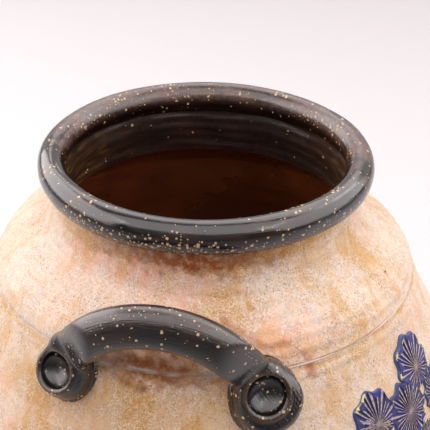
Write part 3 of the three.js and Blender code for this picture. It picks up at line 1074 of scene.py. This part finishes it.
def lug_handle(name, turn, net, glaze, nodes):
    """One handle, its skin turned about the axis to its own side of the crock."""
    points, quads = net
    station, across, outward = strap_field(points)[1:]
    along = station / STRAP_STATIONS * STRAP_LENGTH
    thin_glaze_and_edge_highlight = 0.25 * soft_step(body_distance(points), 1.4, 0.3)
    on_strap = np.ones(len(points))
    for side in (-1, 1):
        radius, height = on_pad(points, side)
        ring = hump(radius, DIMPLE_RADIUS[side] + 1.2, 0.8) * soft_step(height, 5, 8)
        thin_glaze_and_edge_highlight = np.maximum(thin_glaze_and_edge_highlight, 0.5 * ring)
        on_strap = np.minimum(on_strap, soft_step(radius, 14, 21))
    # Thin glaze breaking brown over the strap's lower edge, which also stands in as a painted
    # highlight along that edge.
    edge = hump(across, STRAP_WIDTH / 2 - 1.4, 0.8) * on_strap
    thin_glaze_and_edge_highlight = np.maximum(thin_glaze_and_edge_highlight, 0.3 * edge)
    turned = np.array(Matrix.Rotation(turn, 3, "Z"))
    placed = points @ turned.T
    piece = make_piece(name, placed, quads.tolist(), BODY, (glaze,))
    paint(piece, "grain", np.stack([along, 0 * along, across + 0.4 * outward], 1) * MM)
    paint(piece, "thin_glaze_and_edge_highlight", thin_glaze_and_edge_highlight)
    paint(piece, "specks", 0.3 + 0.4 * soft_step(waves(placed, 24, 91), -0.2, 0.9))
    # Painted sheen: a lighter grey-brown on the strap's upper half and in a band above its lower edge,
    # standing in for reflections of the lights and floor.
    painted_sheen = 0.24 * soft_step(across, -1, -7) + 0.26 * soft_step(across, 6.4, 8.2)
    paint(piece, "matt_and_painted_sheen", painted_sheen * on_strap)
    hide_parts(*nodes)


# ---- applied blossoms ----

# Hub azimuth (degrees), hub level below the rim, direction it opens (degrees anticlockwise
# from the horizontal), radius ahead of the hub and behind it, petals.
BLOSSOMS = [
    (69.2, 88, 95, 19.5, 10, 9),
    (61.8, 103, 100, 17.5, 14, 11),
    (51.3, 98, 100, 18.5, 10, 9),
    (73, 107, 10, 17, 10, 10),
    (53.5, 117, 215, 17, 10, 9),
    (65, 122, 280, 17, 10, 10),
]
BLOSSOM_COLUMNS = 300
BLOSSOM_RINGS = 40
BLOSSOM_ROOT = -1.5  # height of its back, under the body's skin
BLOSSOM_HUB = BLOSSOM_RELIEF - 0.3


def blossom(index, spec, glaze):
    """A low round of clay with a fan of strokes cut in it."""
    hub, below, opens, ahead, behind, petals = spec
    angle = np.arange(BLOSSOM_COLUMNS) * 2 * math.pi / BLOSSOM_COLUMNS
    facing = math.radians(opens)
    share = (1 + np.cos(angle - facing)) / 2
    scallop = 1 + 0.06 * np.cos(petals * (angle - facing))
    edge = (behind + (ahead - behind) * share) * scallop
    ring = np.linspace(0, 1, BLOSSOM_RINGS + 1)[1:, None]
    draw = np.random.default_rng(100 + index)
    strokes = petals * 3
    wobble = 0.9 * np.cos(5 * angle + draw.uniform(0, 6))
    wobble += 0.7 * np.cos(11 * angle + draw.uniform(0, 6))
    fan = np.cos(strokes * (angle - facing) + wobble + 0.8 * ring * np.sin(3 * angle))
    ridge = soft_step(fan, -0.6, 0.8)
    stroke_end = 0.76 + 0.1 * np.cos(petals * (angle - facing)) + 0.06 * np.cos(13 * angle + wobble)
    cut = soft_step(ring, 0.08, 0.2) * soft_step(ring, stroke_end + 0.1, stroke_end)
    lip = hump(ring, 0.95, 0.035)
    crown = BLOSSOM_RELIEF * np.sqrt(np.clip(1 - ((ring - 0.9) / 0.1).clip(0) ** 2, 0, 1))
    height = crown - 0.75 * (1 - ridge) * cut - 0.25 + 0.25 * lip - 0.12 * index
    hub_radius = outside_radius(below_rim(below))

    def lay(reach, height):
        """Points on the body's skin; reach is 0 at the hub and 1 at the edge."""
        x = np.cos(angle) * edge * reach
        y = np.sin(angle) * edge * reach * 0.9
        level = below_rim(below) + y
        slope = outside_slope(level)
        lean = np.hypot(1, slope)
        azimuth = math.radians(hub) + x / hub_radius
        radius = outside_radius(level) - STAND_IN + height / lean
        return round_points(radius, azimuth, level - height * slope / lean)

    top = lay(ring, height).reshape(-1, 3)
    hub_top, hub_root = lay(0, BLOSSOM_HUB)[:1], lay(0, BLOSSOM_ROOT)[:1]
    points = np.vstack([top, lay(1, BLOSSOM_ROOT), hub_top, hub_root])
    grid = np.arange((BLOSSOM_RINGS + 1) * BLOSSOM_COLUMNS).reshape(-1, BLOSSOM_COLUMNS)
    after = np.roll(grid, -1, 1)
    quads = np.stack([grid[:-1], grid[1:], after[1:], after[:-1]], -1).reshape(-1, 4).tolist()
    centre, floor = grid.size, grid.size + 1
    quads += [[centre, int(a), int(b)] for a, b in zip(grid[0], after[0])]
    quads += [[floor, int(b), int(a)] for a, b in zip(grid[-1], after[-1])]
    piece = make_piece(f"blossom_relief_{index + 1}", points, quads, BODY, (glaze,))
    shown = np.where(cut > 0.05, ridge, 0.72)
    paint(piece, "ridge", np.concatenate([shown.ravel(), np.ones(BLOSSOM_COLUMNS + 2)]))
    reach = np.repeat(ring, BLOSSOM_COLUMNS)
    paint(piece, "reach", np.concatenate([reach, np.ones(BLOSSOM_COLUMNS), [0, 0]]))
    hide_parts(f"blossom_{index + 1}")


# ---- fermentation weights ----


WEIGHT_STEP = 0.9  # spacing of the lattice that its skin is found on


def half_moon(name, turn, body, node, clay):
    def field(points):
        x, y, z = np.moveaxis(points, -1, 0)
        wall = smooth_max(np.hypot(x, y) - WEIGHT_RADIUS, WEIGHT_HALF_GAP - y, 4.0)
        wall = np.maximum(wall, WEIGHT_HOLE_RADIUS - np.hypot(x, y - WEIGHT_HOLE_CENTRE))
        slab = np.abs(z - WEIGHT_LEVEL - WEIGHT_THICKNESS / 2) - WEIGHT_THICKNESS / 2
        worn = 0.14 * waves(points, 16, 111) + 0.05 * waves(points, 5, 112)
        return smooth_max(wall, slab, 4.5) + 0.2 + worn

    low = np.array([-WEIGHT_RADIUS, WEIGHT_HALF_GAP, WEIGHT_LEVEL]) - 1
    high = np.array([WEIGHT_RADIUS, WEIGHT_RADIUS, WEIGHT_LEVEL + WEIGHT_THICKNESS]) + 1
    points, quads = surface_net(field, low, high, WEIGHT_STEP)
    turned = np.array(Matrix.Rotation(turn, 3, "Z"))
    piece = make_piece(name, points @ turned.T, quads.tolist(), body, (clay,))
    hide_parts(node)


# ---- stage, light and camera ----


FLOOR_REACH = 8.0  # metres on each side
LIGHT_TINT = (1.0, 0.945, 0.95)
RIM_CENTRE = Vector((0, 0, RIM_LEVEL * MM))


def pale_floor():
    """A floor that is pale behind the crock, with painted shade darkening it towards the front."""
    mesh = bpy.data.meshes.new("floor")
    corners = [(x * FLOOR_REACH, y * FLOOR_REACH, 0) for x, y in ((-1, -1), (1, -1), (1, 1), (-1, 1))]
    mesh.from_pydata(corners, [], [(0, 1, 2, 3)])
    floor = new_object("floor", mesh)
    look = Look("pale_floor", Roughness=0.9, Specular_IOR_Level=0.1)
    ahead = look.node("ShaderNodeSeparateXYZ", {"Vector": look.coordinates()}).outputs["Y"]
    # Painted shade: darker towards the front, so the glossy glazes reflect dark below the crock.
    colour = look.mix(look.between(ahead, -0.6, 0.1), (0.2, 0.197, 0.2, 1), (0.58, 0.572, 0.578, 1))
    look.plug(look.shader.inputs["Base Color"], colour)
    mesh.materials.append(look.material)


def soft_box(name, azimuth, elevation, distance, width, height, radiance):
    """A rectangular light facing the rim: degrees, then metres."""
    light = bpy.data.lights.new(name, "AREA")
    light.shape = "RECTANGLE"
    light.size, light.size_y = width, height
    light.energy = radiance * math.pi * width * height
    light.color = LIGHT_TINT
    holder = new_object(name, light)
    away = direction(math.radians(azimuth), math.radians(elevation))
    holder.location = RIM_CENTRE + distance * away
    holder.rotation_euler = (-away).to_track_quat("-Z", "Y").to_euler()


def studio():
    """The lights, and surroundings that are paler behind the crock, as the floor is."""
    soft_box("left_box", -93, 23, 1.2, 2.3, 1.15, 2.8)
    soft_box("right_box", 94, 24, 1.25, 2.0, 1.1, 1.95)
    soft_box("front_box", 5, 56, 1.15, 2.2, 1.3, 1.75)
    soft_box("low_box", 0, 12, 1.2, 1.6, 0.52, 0.15)
    soft_box("floor_box", 168, 52, 2.2, 3.2, 1.8, 2.0)
    world = bpy.data.worlds.new("studio")
    world.use_nodes = True
    sky = Nodes(world.node_tree)
    place = sky.node("ShaderNodeSeparateXYZ", {"Vector": sky.coordinates("Generated")})
    background = sky.tree.nodes["Background"]
    sky.plug(background.inputs["Color"], (*LIGHT_TINT, 1))
    strength = sky.between(place.outputs["Y"], -0.3, 0.6, 0.12, 0.75)
    sky.plug(background.inputs["Strength"], strength)
    bpy.context.scene.world = world


CAMERA_AZIMUTH = math.radians(10.0)
CAMERA_ELEVATION = math.radians(27.096)
CAMERA_DISTANCE = 660.87  # from the rim's centre
CAMERA_TILT = math.radians(2.598)
CAMERA_PAN = math.radians(0.502)
CAMERA_ROLL = math.radians(0.6088)
FOCAL_LENGTH = 102.32
SENSOR_WIDTH = 36


def camera():
    data = bpy.data.cameras.new("camera")
    data.lens = FOCAL_LENGTH
    data.sensor_width = SENSOR_WIDTH
    data.clip_start = 0.01
    holder = new_object("camera", data)
    away = direction(CAMERA_AZIMUTH, CAMERA_ELEVATION)
    right = Vector((math.cos(CAMERA_AZIMUTH), math.sin(CAMERA_AZIMUTH), 0))
    tilt = Matrix.Rotation(-CAMERA_TILT, 3, right)
    back, up = tilt @ away, tilt @ away.cross(right)
    pan = Matrix.Rotation(-CAMERA_PAN, 3, up)
    back, right = pan @ back, pan @ right
    c, s = math.cos(CAMERA_ROLL), math.sin(CAMERA_ROLL)
    right, up = c * right + s * up, -s * right + c * up
    rotation = Matrix((right, up, back)).transposed().to_4x4()
    place = RIM_CENTRE + CAMERA_DISTANCE * MM * away
    holder.matrix_world = Matrix.Translation(place) @ rotation
    bpy.context.scene.camera = holder


# ---- the crock ----


def build():
    salt = salt_glaze()
    liner = liner_glaze()
    bare = bare_stoneware()
    rim_glaze = black_glaze("rim_glaze", 0.95, True, 0.5, 0.08)
    throat_glaze = black_glaze("throat_glaze", 0.25, False, 1.0, 0.24)
    handle_glaze = black_glaze("handle_glaze", 0.5, False, 1.6, 0.08)
    cobalt = cobalt_slip()
    thrown_body(salt, liner, bare)
    thrown_shoulder(salt, liner)
    thrown_neck(throat_glaze)
    rolled_rim(rim_glaze)
    low = np.array([-72.0, -141.0, below_rim(90)])
    high = np.array([72.0, -84.0, below_rim(8)])
    net = surface_net(handle_field, low, high, HANDLE_STEP)
    for side, turn in (("front", 0), ("back", math.pi)):
        nodes = [f"{side}_handle_{part}" for part in ("strap", "pad_left", "pad_right")]
        lug_handle(f"lug_handle_{side}", turn, net, handle_glaze, nodes)
    for index, spec in enumerate(BLOSSOMS):
        blossom(index, spec, cobalt)
    half_moon("half_moon_front", math.pi, "front_weight", "weight_front", bare)
    half_moon("half_moon_back", 0, "back_weight", "weight_back", bare)


build()
pale_floor()
studio()
camera()
bpy.context.scene.view_settings.view_transform = "Standard"
